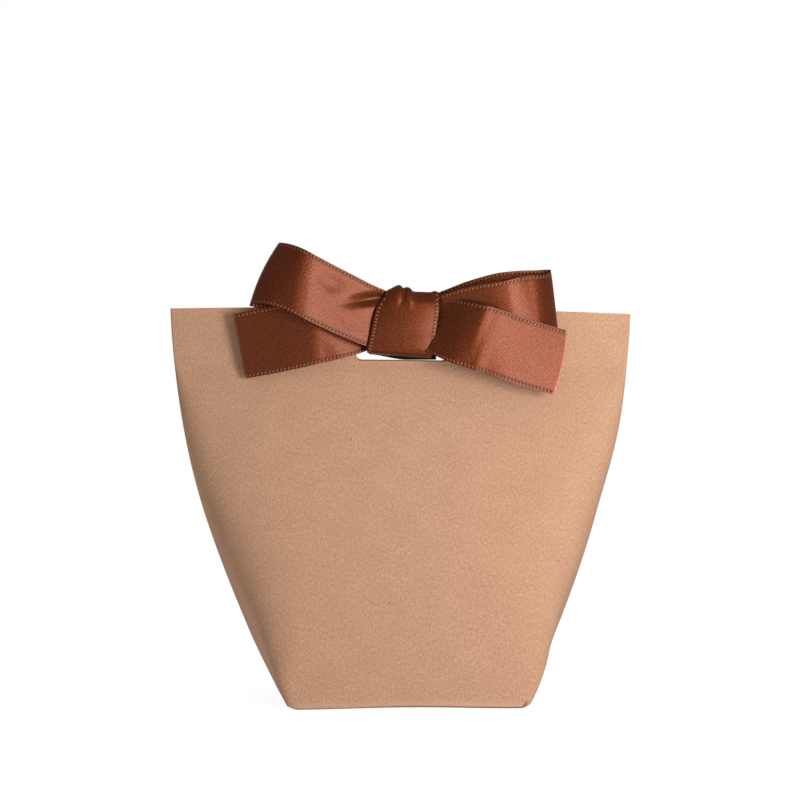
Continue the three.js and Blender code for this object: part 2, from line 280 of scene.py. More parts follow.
# %% [markdown]
# ## Satin ribbon
# Satin shows long floating threads, so its gloss is broad, strong and coloured by the dye. A part
# metallic setting tints the gloss in that way. Both edges of the ribbon carry a selvedge of small
# stitches, and the field has a fine slanting grain. Real threads could be modelled, but they would
# be finer than a pixel. The pattern reads the ribbon's flat coordinates, so it follows each fold.

# %% Satin finish
RIBBON_WIDTH = 25.0
RIBBON = 0.3  # thickness
STITCH_PITCH = 1.4
STITCH_IN = 1.5  # from the edge of the ribbon to the inner end of a stitch
STITCH_OUT = 0.35
TWILL_PITCH = 0.78
FAR_OFF = 400  # whole pitches added to a pattern, so that its fractions never meet 0
SATIN_RELIEF = 0.08 * MM
SATIN = (0.185, 0.043, 0.0132, 1)
SATIN_DARK = (0.083, 0.0175, 0.0055, 1)
SATIN_PAINTED_SHADE = (0.018, 0.005, 0.003, 1)
STITCH = (0.36, 0.135, 0.068, 1)
STITCH_GAP_AND_EDGE_SHADE = (0.06, 0.016, 0.008, 1)
CUT_END = (0.50, 0.17, 0.07, 1)


def satin(name, end=None, melt=0.0):
    """Brown field with slanting grain, and a row of stitches near each edge. A stitch repeats with
    the length along the ribbon, and lies where the distance to the edge is in its band. A cut end
    is paler, by the share melt."""
    finish = Finish(name)
    along, across, _ = finish.parts("XYZ", finish.sheet_place())
    inward = RIBBON_WIDTH / 2 - abs(across)
    grain = finish.noise(finish.sheet_place(0.6, (1, 0.4)), 2.2, 2, 0.6)
    fine = finish.noise(finish.sheet_place(), 3.5, 2, 0.6)
    slope = finish.parts("XYZ", finish.sheet_place(0.75))[0]
    thread = slope * (1 / TWILL_PITCH) + fine * 0.9
    twill = abs((thread + FAR_OFF).math("FRACT") - 0.5) * 2
    band = inward.near((STITCH_IN + STITCH_OUT) / 2, (STITCH_IN - STITCH_OUT) * 0.66)
    slanted = along * (1 / STITCH_PITCH) + inward * 0.3 + fine * 0.35
    wave = abs((slanted + FAR_OFF).math("FRACT") - 0.5)
    stitch = 1 - wave.step(0.14, 0.34)
    groove = inward.near(STITCH_IN + 0.15, 0.35)
    shade = (twill * 0.9 - grain * 2.2 + 0.05).step(0.0, 1.0)
    colour = finish.mix(shade, SATIN, SATIN_DARK)
    colour = finish.mix(groove * 0.25, colour, STITCH_GAP_AND_EDGE_SHADE)
    colour = finish.mix(band * 0.8, colour, finish.mix(stitch, STITCH_GAP_AND_EDGE_SHADE, STITCH))
    # Painted shade: a thin dark line along each edge of the ribbon.
    colour = finish.mix((1 - inward.step(0.05, 0.3)) * 0.4, colour, STITCH_GAP_AND_EDGE_SHADE)
    # Painted shade: the ribbon is near black where it runs through the slot, and rougher there.
    slot_shade = finish.signal("Attribute", {"attribute_name": "wear"}, output=2)
    colour = finish.mix(slot_shade, colour, SATIN_PAINTED_SHADE)
    if end is not None:
        colour = finish.mix(along.near(end, 0.6) * melt, colour, CUT_END)
    finish.set(
        Base_Color=colour,
        Metallic=0.52,
        Roughness=0.36 + band * 0.14 + grain * 0.1 + slot_shade * 0.4,
        Specular_IOR_Level=0.0,
        Coat_Weight=0.16 * (1 - band * 0.85),
        Coat_Roughness=0.22,
    )
    finish.bump(band * stitch * 1.2 - groove * 0.5 + twill * 0.3 + grain * 0.35, SATIN_RELIEF)
    return finish.material


satin_ribbon = satin("satin_ribbon")
print("satin finish:", satin_ribbon.name)

# %% [markdown]
# ## Sheets as arrays
# Card and ribbon are both thin sheets, so every piece is a grid of points. The helpers below merge
# such grids into one mesh, give it thickness with Solidify, and mark the cut edges sharp. Thickness
# could be built by hand, but Solidify also handles a hole in the sheet.


# %% Grids to meshes
SHARP = math.radians(38)
WELD = 2e-6  # metres between points that are merged


def grid_of(*parts):
    """Spreads the parts over one common grid and stacks them as the coordinates of its points."""
    return np.stack(np.broadcast_arrays(*parts), -1)


def unit(vectors):
    """The same directions with length 1: each vector over its own length."""
    return vectors / np.linalg.norm(vectors, axis=-1, keepdims=True)


def run_along(line):
    """The length from the start of a line to each of its points."""
    return np.concatenate([[0], np.cumsum(np.linalg.norm(np.diff(line, axis=0), axis=1))])


def grid_faces(rows, columns):
    """One quad between each two neighbouring rows and columns."""
    at = np.arange(rows * columns).reshape(rows, columns)
    corners = [at[:-1, :-1], at[1:, :-1], at[1:, 1:], at[:-1, 1:]]
    return np.stack(corners, -1).reshape(-1, 4)


def sheet_object(name, patches, thickness, materials, wear=None):
    """Makes one thick sheet from patches, each a grid of points (rows, columns, 3) and its flat
    coordinates (rows, columns, 2) in millimetres. Patches are merged where their points meet."""
    points, flats, faces, start = [], [], [], 0
    for grid, flat in patches:
        rows, columns = grid.shape[:2]
        points.append(grid.reshape(-1, 3))
        flats.append(flat.reshape(-1, 2))
        faces.append(grid_faces(rows, columns) + start)
        start += rows * columns
    points, flats, faces = map(np.concatenate, (points, flats, faces))
    mesh = bpy.data.meshes.new(name)
    mesh.from_pydata((points * MM).tolist(), [], faces.tolist())
    flat_map = mesh.uv_layers.new(name="flat")
    flat_map.data.foreach_set("uv", (flats[faces.ravel()] * MM).astype(np.float32).ravel())
    # One number a point: rubbed wear, and painted shade where the light would be blocked.
    wear_and_shade_values = mesh.attributes.new("wear", "FLOAT", "POINT")
    if wear is not None:
        wear_and_shade_values.data.foreach_set("value", wear(points).astype(np.float32))
    weld = bmesh.new()
    weld.from_mesh(mesh)
    bmesh.ops.remove_doubles(weld, verts=weld.verts, dist=WELD)
    bmesh.ops.recalc_face_normals(weld, faces=weld.faces)
    weld.to_mesh(mesh)
    weld.free()
    obj = add_object(name, mesh)
    for material in materials:
        mesh.materials.append(material)
    thicken(obj, thickness, len(materials) - 1)
    return obj


def thicken(obj, thickness, rim):
    """Solidifies the sheet evenly to both sides, applies that, and marks its cut edges sharp."""
    solidify = obj.modifiers.new("board", "SOLIDIFY")
    solidify.thickness = thickness * MM
    solidify.offset = 0
    solidify.use_even_offset = True
    solidify.use_quality_normals = True
    solidify.material_offset_rim = rim
    ready = bpy.context.evaluated_depsgraph_get()
    solid = bpy.data.meshes.new_from_object(obj.evaluated_get(ready))
    obj.modifiers.clear()
    obj.data = solid
    solid.shade_smooth()
    solid.set_sharp_from_angle(angle=SHARP)
    print(obj.name, "has", len(solid.polygons), "faces")


def climb(value, low, high):
    """0 below low, 1 above high, and between them three squares of the share less two cubes."""
    share = np.clip((value - low) / (high - low), 0, 1)
    return share * share * (3 - 2 * share)


# %% [markdown]
# ## The wall of the bag
# The bag is a tube of constant length round. On the floor it is a rectangle, at the lip it is flat,
# and between them each level section is a flat, a round corner and a nearly straight side up to the
# crease. Flat plates would show none of the bent card's soft ridges, so the wall is one surface.

# %% Sizes of the card
BASE_WIDTH = 80.0
BASE_DEPTH = 85.0
BAG_HEIGHT = 138.0
BOARD = 0.5  # thickness of the card
CLEARANCE = 0.3
SIDE_BULGE = 3.0  # how far the crease of a side stands out past its corners, at the base
SIDE_SWELL = 4.3  # and how much more it does higher up
SIDE_CURVE = 0.9  # 0 makes the sides of the bag straight, and 1 makes them a quarter wave
FRONT_CURVE = 1.1
BASE_CORNER = 3.5  # length of the card that turns the corner, at the base
SOFT_CORNER = 36.0  # and higher up, where the card is free
LOW_SHARE = 0.24  # how much of that change comes in the lowest 20 mm
CORNER_SHARE = 0.88  # the most of a side that its corner may take
CORNER_STEPS = 40
CROWN = 1.2  # drop of the lip towards its two ends
SLOT_HALF_WIDTH = 16.5
SLOT_BOTTOM = 119.4
SLOT_TOP = 126.4
SLOT_CORNER = 2.0
PINCH = 118.0  # height above which the front and the back lie together
LIP = (BOARD + CLEARANCE) / 2
TOP_REACH = (BASE_WIDTH + BASE_DEPTH) / 2
BASE_REACH = BASE_WIDTH / 2 + SIDE_BULGE


def corner_run(turn, share, ease):
    """How far a corner of unit length has gone forward and aside at a share of its length. Its
    heading grows with a power of the share, and the way is the mean heading, times the share."""
    steps = (np.arange(CORNER_STEPS) + 0.5) / CORNER_STEPS
    share = np.asarray(share, float)[..., None]
    heading = np.asarray(turn)[..., None] * (share * steps) ** np.asarray(ease)[..., None]
    return share[..., 0] * np.cos(heading).mean(-1), share[..., 0] * np.sin(heading).mean(-1)


def section(z):
    """The quarter section at a height: how far the flat, the round corner and the side run. The
    corner turns slowly off the flat and fast into the side, and its length keeps it on both."""
    share = z / BAG_HEIGHT
    curve = SIDE_CURVE * np.sin(np.pi / 2 * share) + (1 - SIDE_CURVE) * share
    side = BASE_REACH + (TOP_REACH - BASE_REACH) * curve - BOARD / 2
    front = LIP + (BASE_DEPTH / 2 - LIP) * np.maximum(0, 1 - z / PINCH) ** FRONT_CURVE
    swell = SIDE_BULGE + SIDE_SWELL * climb(z, 2, 34)
    bulge = swell * np.maximum(0, 1 - (z / PINCH) ** 2)
    length = np.hypot(bulge, front)
    turn = np.arctan2(front, bulge)
    ease = 1.3 + 2.4 * climb(z, 30, 110)
    ahead, aside = corner_run(turn, np.ones(np.shape(z)), ease)
    softening = LOW_SHARE * climb(z, 0, 20) + (1 - LOW_SHARE) * climb(z, 5, 65)
    wanted = BASE_CORNER + (SOFT_CORNER - BASE_CORNER) * softening
    most = CORNER_SHARE * length * np.sin(turn) / aside
    corner = (wanted**-6 + most**-6) ** (-1 / 6)  # a smooth form of the lesser of the two
    on_side = corner * aside / np.sin(turn)
    flat = side - bulge - (corner * ahead - on_side * np.cos(turn))
    return flat, corner, turn, length - on_side, front, ease


def wall(column, z, back=False):
    """A point of the card's middle surface. The column's size runs 0 to 1 over the flat, 1 to 2
    round the corner and 2 to 3 along the side to the crease, and its sign says right or left."""
    column, z = np.broadcast_arrays(np.asarray(column, float), np.asarray(z, float))
    place = np.abs(column)
    flat, corner, turn, straight, front, ease = section(z)
    round_corner = np.clip(place - 1, 0, 1)
    ahead, aside = corner_run(turn, round_corner, ease)
    on_side = straight * np.clip(place - 2, 0, 1)
    x = flat * np.minimum(place, 1) + corner * ahead + on_side * np.cos(turn)
    y = -front + corner * aside + on_side * np.sin(turn)
    along = flat * np.minimum(place, 1) + corner * round_corner + on_side
    height = z * (1 - CROWN / BAG_HEIGHT * (along / TOP_REACH) ** 2)
    flat_x = np.sign(column) * TOP_REACH * along / (flat + corner + straight)
    if back:
        flat_x = 2 * TOP_REACH - flat_x
    return grid_of(x * np.sign(column), -y if back else y, height), grid_of(flat_x, z)


print("flat part at the base and the lip:", section(np.array([0.0, BAG_HEIGHT]))[0].round(2))

# %% [markdown]
# ## How the card has settled
# A real bag is never as true as its drawing. The lip hangs askew and waves by half a millimetre,
# the free card pushes the sides out, and the front edge of the base arches off the table. It could
# be sculpted, but one smooth shift that all card pieces share keeps neighbours joined.

# %% Settling
SLANT = -0.0102  # climb of the top edge for each millimetre to the right
LIP_WAVE = 0.45
DENT_DEPTH = 0.18
BASE_ARCH = 0.6
LEFT_SPREAD = 1.6  # how far the free card pushes its sides out
RIGHT_SPREAD_LOW = 3.2
RIGHT_SPREAD_HIGH = 1.0


def base_arch(x, y, z):
    """How far the front edge of the base stands up: a squared cosine with its top in the middle."""
    arch = BASE_ARCH * np.cos(np.clip(x / 38, -1, 1) * np.pi / 2) ** 2
    return arch * climb(-y, 20, 40) * (1 - climb(z, 2, 18))


def settle(points):
    """Spreads the sides, and adds to the height the slant of the lip and the base's arch, and to the
    depth the lip's wave, a sine of the place across, and shallow dents, a product of two sines."""
    x, y, z = np.moveaxis(points, -1, 0)
    wave = LIP_WAVE * climb(z, 40, BAG_HEIGHT) * climb(np.abs(x), 15, 60) * np.sin(x / 17 + 0.9)
    dents = DENT_DEPTH * np.sin(x / 11 + z / 23) * np.sin(z / 14 + 1)
    dents = dents * climb(z, 8, 30) * climb(PINCH - z, 4, 30)
    slanted = SLANT * x * climb(z, 0, BAG_HEIGHT)
    left = LEFT_SPREAD * climb(-x, 12, 38) * climb(z, -12, 24) * (1 - climb(z, 60, 124))
    low = RIGHT_SPREAD_LOW * climb(z, -10, 16) * (1 - climb(z, 15, 75))
    high = RIGHT_SPREAD_HIGH * climb(z, 20, 60) * (1 - climb(z, 90, 124))
    shifted = x - left + (low + high) * climb(x, 12, 36)
    return grid_of(shifted, y + wave + dents * np.clip(y, -1, 1), z + slanted + base_arch(x, y, z))

# %% [markdown]
# ## The slot
# A slot through both layers of the lip takes the ribbon. Its round corners don't fit a square grid,
# so the grid leaves out a rectangle, and a ring of quads fills it up to the slot. A boolean cut
# would also work, but it leaves slivers that catch the light.


# %% Ring round the slot
RING_STEPS = 4


def slot_ring(xs, zs, flat, back):
    """Quads from the left-out rectangle to the slot. Each outer point joins the nearest point of the
    slot: clamp it into the slot's core, then go out by the corner radius."""
    outer = np.concatenate([
        grid_of(xs[-1], zs)[:-1],
        grid_of(xs[::-1], zs[-1])[:-1],
        grid_of(xs[0], zs[::-1])[:-1],
        grid_of(xs, zs[0]),
    ])
    core_x = SLOT_HALF_WIDTH - SLOT_CORNER
    core_z = np.clip(outer[:, 1], SLOT_BOTTOM + SLOT_CORNER, SLOT_TOP - SLOT_CORNER)
    core = grid_of(np.clip(outer[:, 0], -core_x, core_x), core_z)
    inner = core + SLOT_CORNER * unit(outer - core)
    places = inner + (outer - inner) * np.linspace(0, 1, RING_STEPS)[:, None, None]
    return wall(places[..., 0] / flat, places[..., 1], back)

# %% [markdown]
# ## Folding the base edges
# The four flaps that close the base are part of the same sheet, bent in along its lower edges. The
# bend shows as a soft edge, and the cut at each corner leaves a small notch. A Bevel modifier would
# round the corners too, so the arc of each fold is worked out instead.

# %% Base folds
FOLD_RADIUS = 0.55
FOLD_STEPS = 9
FRONT_LEVEL = BOARD / 2  # heights of the flaps' middle surfaces
BACK_LEVEL = FRONT_LEVEL + BOARD + CLEARANCE
SIDE_LEVEL = BACK_LEVEL + BOARD + CLEARANCE
CORNER_CUT = (0.15, 1.35)  # height of the cut edge over the table, at the two ends of a corner
LEAN_HEIGHT = 3.0  # where the lean of the wall is measured, over a small step
SMALL_STEP = 0.01


def base_fold(column, level, back):
    """Carries the wall's lower edge round an arc until it lies flat at the level. The arc turns the
    heading from the wall's own lean to level, and each point is the start plus the arc's chord."""
    near = wall(column, LEAN_HEIGHT, back)[0]
    up = (wall(column, LEAN_HEIGHT + SMALL_STEP, back)[0] - near) / SMALL_STEP
    across = np.gradient(near, axis=0)
    inward = unit(grid_of(-across[:, 1], across[:, 0], 0))
    inward *= (-1 if back else 1) * np.sign(across[:, :1] + 1e-9 * column[:, None])
    from_turn = np.arctan(-(up * inward).sum(1))
    start = level + FOLD_RADIUS * (1 - np.sin(from_turn))
    edge, flat = wall(column, start, back)
    turn = from_turn + (np.pi / 2 - from_turn) * np.linspace(1, 0, FOLD_STEPS)[:, None]
    into = FOLD_RADIUS * (np.cos(from_turn) - np.cos(turn))
    down = FOLD_RADIUS * (np.sin(turn) - np.sin(from_turn))
    points = edge + into[..., None] * inward - down[..., None] * np.array([0, 0, 1.0])
    return points, grid_of(flat[:, 0], flat[:, 1] - FOLD_RADIUS * (turn - from_turn)), start


# %% [markdown]
# ## One half of the tube
# The front and the back of the bag have the same form, so one function makes both: patches of wall
# round the slot, the ring in it, and the folds of the base. They share their edge points and merge
# without a seam. One grid would be simpler, but it could have neither a slot nor cut corners.

# %% Rows and columns of the wall
RING_REACH = 19.0  # half width of the rectangle that is left out for the slot
RING_LOW = 118.6
RING_HIGH = 128.2
lip_flat = float(section(np.array(BAG_HEIGHT))[0])
flat_columns = np.concatenate([
    np.arange(0, 14.5, 2.9),
    [14.5, 15.5, SLOT_HALF_WIDTH, 17.7, RING_REACH],
    np.linspace(22, lip_flat, 28),
]) / lip_flat
corner_columns = 1 + np.array([0.12, 0.25, 0.38, 0.5, 0.61, 0.71, 0.8, 0.88, 0.95])
side_columns = np.linspace(2, 3, 9)
half_columns = np.concatenate([flat_columns, corner_columns, side_columns])
columns = np.concatenate([-half_columns[:0:-1], half_columns])
heights = np.concatenate([
    [3.2, 4.6, 6.5, 9],
    np.linspace(12, 112, 46),
    [113.5, 115, 116.3, 117.2, PINCH, RING_LOW, SLOT_BOTTOM, 120.4, SLOT_BOTTOM + SLOT_CORNER],
    [122.9, SLOT_TOP - SLOT_CORNER, 125.4, SLOT_TOP, 127.2, RING_HIGH, 130.5, 133, 135.6],
    [BAG_HEIGHT],
])
print("wall grid:", len(heights) + 1, "rows by", len(columns), "columns")


# %% Half of the bag
def half_bag(back):
    """One half of the tube as patches: the wall with its slot left out, the ring round the slot and
    the folds. The lowest row follows the folds, and drops to the cut edge at the corners."""
    corner_share = climb(np.abs(columns), 1, 2)
    lowest = CORNER_CUT[0] + (CORNER_CUT[1] - CORNER_CUT[0]) * corner_share
    on_flat = np.abs(columns) <= 1
    *fold, start = base_fold(columns[on_flat], BACK_LEVEL if back else FRONT_LEVEL, back)
    lowest[on_flat] = start
    patches = [fold]
    for side in (-1, 1):
        side_fold = side * side_columns
        *fold, start = base_fold(side_fold, SIDE_LEVEL, back)
        on_side = np.isin(columns, side_fold)
        lowest[on_side] = np.interp(columns[on_side], side_fold[::side], start[::side])
        patches.append(fold)
    rows = np.concatenate([lowest[None], np.repeat(heights[:, None], len(columns), 1)])
    points, flat = wall(columns[None], rows, back)
    hole_x = np.flatnonzero(np.abs(columns * lip_flat) < RING_REACH + SMALL_STEP)
    row_heights = rows[:, 0]
    hole_z = np.flatnonzero(
        (row_heights > RING_LOW - SMALL_STEP) & (row_heights < RING_HIGH + SMALL_STEP)
    )
    left, right = hole_x[[0, -1]]
    low, high = hole_z[[0, -1]]
    for part in (
        (slice(0, low + 1), slice(None)),
        (slice(high, None), slice(None)),
        (slice(low, high + 1), slice(0, left + 1)),
        (slice(low, high + 1), slice(right, None)),
    ):
        patches.append((points[part], flat[part]))
    patches.append(slot_ring(columns[hole_x] * lip_flat, row_heights[hole_z], lip_flat, back))
    return patches

# %% [markdown]
# ## The bag itself
# On the real bag the sheet's own end is glued inside the left crease. So the two halves keep a
# small gap there, and merge along the right crease. Card is rubbed pale where it is folded, and a
# shadow is painted dark just under the fold and along the slot's lower edge. Each point carries
# both as one number for the finish. It could be painted on, but here it follows from the height.


# %% The bag
def card_wear_and_painted_shadow(points):
    """Pale, above 0, where the fold of the base is rubbed, and a painted shadow, below 0, just under it
    and along the lower edge of the slot."""
    x, y, z = points.T
    height = z - base_arch(x, y, z)
    rubbed = 0.8 * (1 - climb(height, 0.9, 2.4))
    # Painted shadow: dark just under the fold of the base, stronger right of the middle.
    painted_shadow_under = (1 - climb(height, 0.42, 0.78)) * (0.55 + 0.45 * climb(x, -20, 0))
    # Painted shadow: a thin dark line along the lower edge of the slot, in the shade of the knot.
    over_slot_foot = z - settle(grid_of(x, y, SLOT_BOTTOM))[:, 2]
    painted_slot_shadow = (1 - climb(np.abs(over_slot_foot), 0.3, 0.5)) * (np.abs(x) < SLOT_HALF_WIDTH - 1)
    return rubbed - 2.0 * painted_shadow_under - 3.0 * painted_slot_shadow


FREE_EDGE = 0.25  # gap at the left crease, where the sheet's own end meets the tab
front_half = half_bag(back=False)
back_half = half_bag(back=True)
for points, _ in back_half:
    near_crease = climb(-points[..., 0], 40, 60) * (1 - climb(points[..., 1], 0, 3))
    points[..., 1] += FREE_EDGE * near_crease
patches = [(settle(points), flat) for points, flat in front_half + back_half]
bag_card = sheet_object("bag_card", patches, BOARD, [kraft_outside, kraft_edge], card_wear_and_painted_shadow)
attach(bag_card, "bag")
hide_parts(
    "front_panel", "back_panel", "left_gusset_front", "left_gusset_back",
    "right_gusset_front", "right_gusset_back",
)

# %% [markdown]
# ## Base flaps
# The flaps lie one on another: the front flap lowest, then the back one, and the two dust flaps on
# top. A flap has to swing at its crease without tearing off the wall. An armature could bend it;
# here each flap has close rows over its first millimetres, and is tied to no body.

# %% Flaps
FRONT_FLAP = (62.0, 37.2, 1.5, 8.0)  # length, half width at the crease, taper, corner radius
BACK_FLAP = (40.0, 37.2, 1.5, 8.0)
DUST_FLAP = (34.0, 39.0, 25.5, 1.5)
FRONT_START = 0.93  # from the crease to where the fold ends and the flap starts
BACK_START = 1.25
DUST_START = 0.6
BEND_LENGTH = 3.0


def flap_card(name, node, size, place, level, bow=0.0):
    """A flat flap. Its half width falls with the length, less the drop of a quarter circle near the
    far corners. Its near edge bows out in the middle where the wall does."""
    length, half, taper, corner = size
    (edge_x, edge_y), (in_x, in_y), near = place
    run = np.concatenate([
        np.linspace(near, near + BEND_LENGTH, 7)[:-1],
        np.linspace(near + BEND_LENGTH, length - corner, 12)[:-1],
        length - corner * np.cos(np.linspace(0, np.pi / 2, 9)),
    ])[:, None]
    drop = corner - np.sqrt(np.maximum(corner**2 - np.maximum(run - length + corner, 0) ** 2, 0))
    reach = half - taper * run / length - drop
    share = np.linspace(-1, 1, 31)[None]
    run = run - bow * (1 - np.abs(share)) * (1 - climb(run, near, near + BEND_LENGTH * 2))
    x = edge_x + in_x * run - in_y * reach * share
    y = edge_y + in_y * run + in_x * reach * share
    grid = settle(grid_of(x, y, level)), grid_of(reach * share, run)
    flap = sheet_object(name, [grid], BOARD, [kraft_outside, kraft_edge])
    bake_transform(flap)
    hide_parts(node)


flap_card("base_front_card", "base_front_flap", FRONT_FLAP,
          ((0, -BASE_DEPTH / 2), (0, 1), FRONT_START), FRONT_LEVEL)
flap_card("base_back_card", "base_back_flap", BACK_FLAP,
          ((0, BASE_DEPTH / 2), (0, -1), BACK_START), BACK_LEVEL)
for side, name in ((-1, "left"), (1, "right")):
    flap_card(f"dust_{name}_card", f"{name}_dust_flap", DUST_FLAP,
              ((side * BASE_WIDTH / 2, 0), (-side, 0), DUST_START), SIDE_LEVEL,
              SIDE_BULGE - DUST_START)

# %% [markdown]
# ## The glued tab
# The round of card is closed by a tab at the end of the sheet, glued inside the left crease. It
# could be placed by eye, but it has to lie along a curved wall. So each of its points is a point of
# the wall, moved inward by one card and a clearance.

# %% Tab
TAB_WIDTH = 12.0
TAB_TAPER = 4.0
TAB_FOOT = 5.0
TAB_HEAD = 94.0
TAB_EDGE = 0.3  # from the crease to the tab

tab_z = np.concatenate([
    [TAB_FOOT], np.linspace(TAB_FOOT + TAB_TAPER, TAB_HEAD - TAB_TAPER, 30), [TAB_HEAD],
])[:, None]
from_end = np.minimum(tab_z - TAB_FOOT, TAB_HEAD - tab_z)
tab_width = TAB_WIDTH - TAB_TAPER * (1 - climb(from_end, 0, TAB_TAPER))
_, corner_length, _, side_run, _, _ = section(tab_z)
tab_in = TAB_EDGE + tab_width * np.linspace(0, 1, 10)[None]
tab_on_side = np.minimum(tab_in / side_run, 1)
tab_column = 3 - tab_on_side - np.maximum(tab_in - side_run, 0) / corner_length
on_wall, tab_flat = wall(-tab_column, tab_z, back=True)
wall_ahead = wall(SMALL_STEP - tab_column, tab_z, back=True)[0] - on_wall
tab_inward = unit(grid_of(wall_ahead[..., 1], -wall_ahead[..., 0], 0))
tab_inward *= np.sign(tab_inward[..., :1])
tab_grid = settle(on_wall + tab_inward * (BOARD + CLEARANCE)), tab_flat
glue_tab = sheet_object("glue_tab_card", [tab_grid], BOARD, [kraft_outside, kraft_edge])
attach(glue_tab, "bag")
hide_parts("glue_tab")

# %% [markdown]
# ## Ribbon strips
# A loop or a tail is one strip of ribbon that leaves the knot. Cloth simulation could find its form
# from gravity, but a stiff satin ribbon keeps the curves that the hands gave it, so each strip
# follows a short table read from the bow. A row says how far out and how far forward it is, where
# its middle is, how wide the strip looks, and how far its top leans forward. Slant bends the top
# later than the foot, and untwist takes that back further out. Belly and end_turn shape the round
# end, dents press hollows into the front leg, and jag cuts the end into small teeth.


# %% Tools for strips
LENGTHWISE = 160
CROSSWISE = 30
KNOT_BACK = 1.65  # from the middle of the bag to the back of the knot
UNTWIST = (0.4, 0.8)  # shares of a strip's rows between which it untwists
END_SHARE = 0.7  # share of a strip's reach where its round end starts
TOOTH = 0.9


def smooth_rows(rows, count):
    """A smooth line through the rows: between two rows it is the cubic whose slopes there are set
    by the rows on both sides."""
    knots = np.asarray(rows, float)
    ends = np.vstack([2 * knots[0] - knots[1], knots, 2 * knots[-1] - knots[-2]])
    place = np.linspace(0, len(knots) - 1, count)
    first = np.minimum(place.astype(int), len(knots) - 2)
    t = (place - first)[:, None]
    a, b, c, d = (ends[first + shift] for shift in range(4))
    square = 2 * a - 5 * b + 4 * c - d
    cube = 3 * b - a - 3 * c + d
    return 0.5 * (2 * b + (c - a) * t + square * t**2 + cube * t**3)


def dent(out, across, place, reach, turn):
    """A bell curve on the leg, 1 deep at its place. Its two reaches are measured along a line that
    is turned from the outward line, and square to that line."""
    along = (out - place[0]) * math.cos(turn) + (across - place[1]) * math.sin(turn)
    aside = (across - place[1]) * math.cos(turn) - (out - place[0]) * math.sin(turn)
    return np.exp(-((along / reach[0]) ** 2) - (aside / reach[1]) ** 2)


def with_flat(points, share):
    """The points of a ribbon with their flat coordinates: the run along its middle, and the place
    across its width, where share goes from -0.5 to 0.5."""
    run = run_along(points[:, points.shape[1] // 2])
    return points, grid_of(run[:, None], share * RIBBON_WIDTH)


def length_of(grid):
    """The length that a ribbon is cut to: the flat run at its last row."""
    return float(grid[1][-1, 0, 0])


# %% Strips from tables
def strip_grid(strip):
    """Points of a strip: the root, plus the way out on a line that rises by the tilt, plus a place
    across it. The depth, the lean and the table's own value go forward, and that value is read
    later at the top of a slanted strip."""
    out, fore, middle, width, top = smooth_rows(strip["table"], LENGTHWISE).T[..., None]
    share = np.linspace(-0.5, 0.5, CROSSWISE)[None]
    rise = math.radians(strip["tilt"])
    count = np.arange(LENGTHWISE)
    row = count[:, None] / count[-1]
    front = 1 - climb(row, strip["front"] - 0.08, strip["front"] + 0.02)
    step = np.abs(np.diff(out[:, 0])).sum() / count[-1]
    late = strip["slant"] * share * width / step * front * climb(row, 0, 0.08)
    shifted = count[:, None] - late * (1 - strip["untwist"] * climb(row, *UNTWIST))
    past_end = np.maximum(0, shifted - count[-1]) * (fore[-1, 0] - fore[-2, 0])
    fore = np.interp(shifted, count, fore[:, 0]) + past_end
    across = middle + share * width
    hollow = sum(
        deep * dent(out, across, place, reach, math.radians(turn))
        for deep, place, reach, turn in strip["dents"]
    )
    forward = KNOT_BACK + strip["depth"] + fore + out * math.sin(math.radians(strip["lean"]))
    forward = forward + top * share * width - hollow * front
    near_end = climb(out, END_SHARE * out.max(), out.max())
    out = out + near_end * (strip["belly"] * (1 - 4 * share**2) + strip["end_turn"] * share * width)
    teeth = np.abs((share * RIBBON_WIDTH / TOOTH) % 1 - 0.5)
    out = out + strip["jag"] * teeth * climb(row, 0.97, 1)
    x = strip["root"][0] + strip["side"] * (out * math.cos(rise) - across * math.sin(rise))
    z = strip["root"][1] + out * math.sin(rise) + across * math.cos(rise)
    return with_flat(grid_of(x, -forward, z), share)


def ribbon_piece(name, body, node, grid, material=satin_ribbon, bend=None, wear=None):
    """Makes a ribbon sheet and lets it ride with its body, or keeps it in place if it has a bend."""
    piece = sheet_object(name, [grid], RIBBON, [material], wear)
    if bend:
        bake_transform(piece)
    else:
        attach(piece, body)
    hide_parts(node)

# %% [markdown]
# ## The ribbon round the lip
# The ribbon goes over the top edge, down the back, and through the slot to the knot, where it sags
# a little. A bent box would do from far away, but the slot lets one see the ribbon's foot. So the
# shape is a closed ring in the upright plane, carried across the ribbon's width.

# %% Band
BAND_PATH = [  # forward of the middle plane, height over the foot
    (0.0, 0.0), (-0.8, 0.25), (-1.15, 1.2), (-1.2, 4.0), (-1.15, 8.0), (-1.15, 11.0),
    (-0.95, 12.5), (0.0, 13.0), (0.95, 12.5), (1.15, 11.0), (1.15, 8.0), (1.2, 4.0),
    (1.15, 1.2), (0.8, 0.25), (0.0, 0.0),
]
BAND_FOOT = 125.7
BAND_HALF_WIDTH = 12.0
BAND_ASIDE = 0.4
SAG_LEFT = 4.1  # how far the foot hangs down into the slot
SAG_RIGHT = 6.1
GATHER = 0.16

band_line = smooth_rows(BAND_PATH, 120)[:, None]
fore_line, height_line = band_line[..., 0], band_line[..., 1]
band_share = np.linspace(-0.5, 0.5, CROSSWISE)[None]
band_x = BAND_ASIDE + 2 * BAND_HALF_WIDTH * band_share
band_sag = SAG_LEFT + (SAG_RIGHT - SAG_LEFT) * climb(band_x, -13, 2)
band_z = BAND_FOOT + height_line - band_sag * (1 - climb(height_line, 0, 9))
band_wave = GATHER * np.cos(2 * np.pi * 2.3 * band_share + 0.7) * climb(band_z, 126, 132)
band_points = grid_of(band_x, -fore_line * (1 + band_wave), band_z)


def band_slot_shade(points):
    """Painted shade: the ribbon is darkened where it passes through the slot, under the knot."""
    return (1 - climb(points[:, 2], 121.5, 126)) * (1 - climb(points[:, 1], -0.6, 0.4))


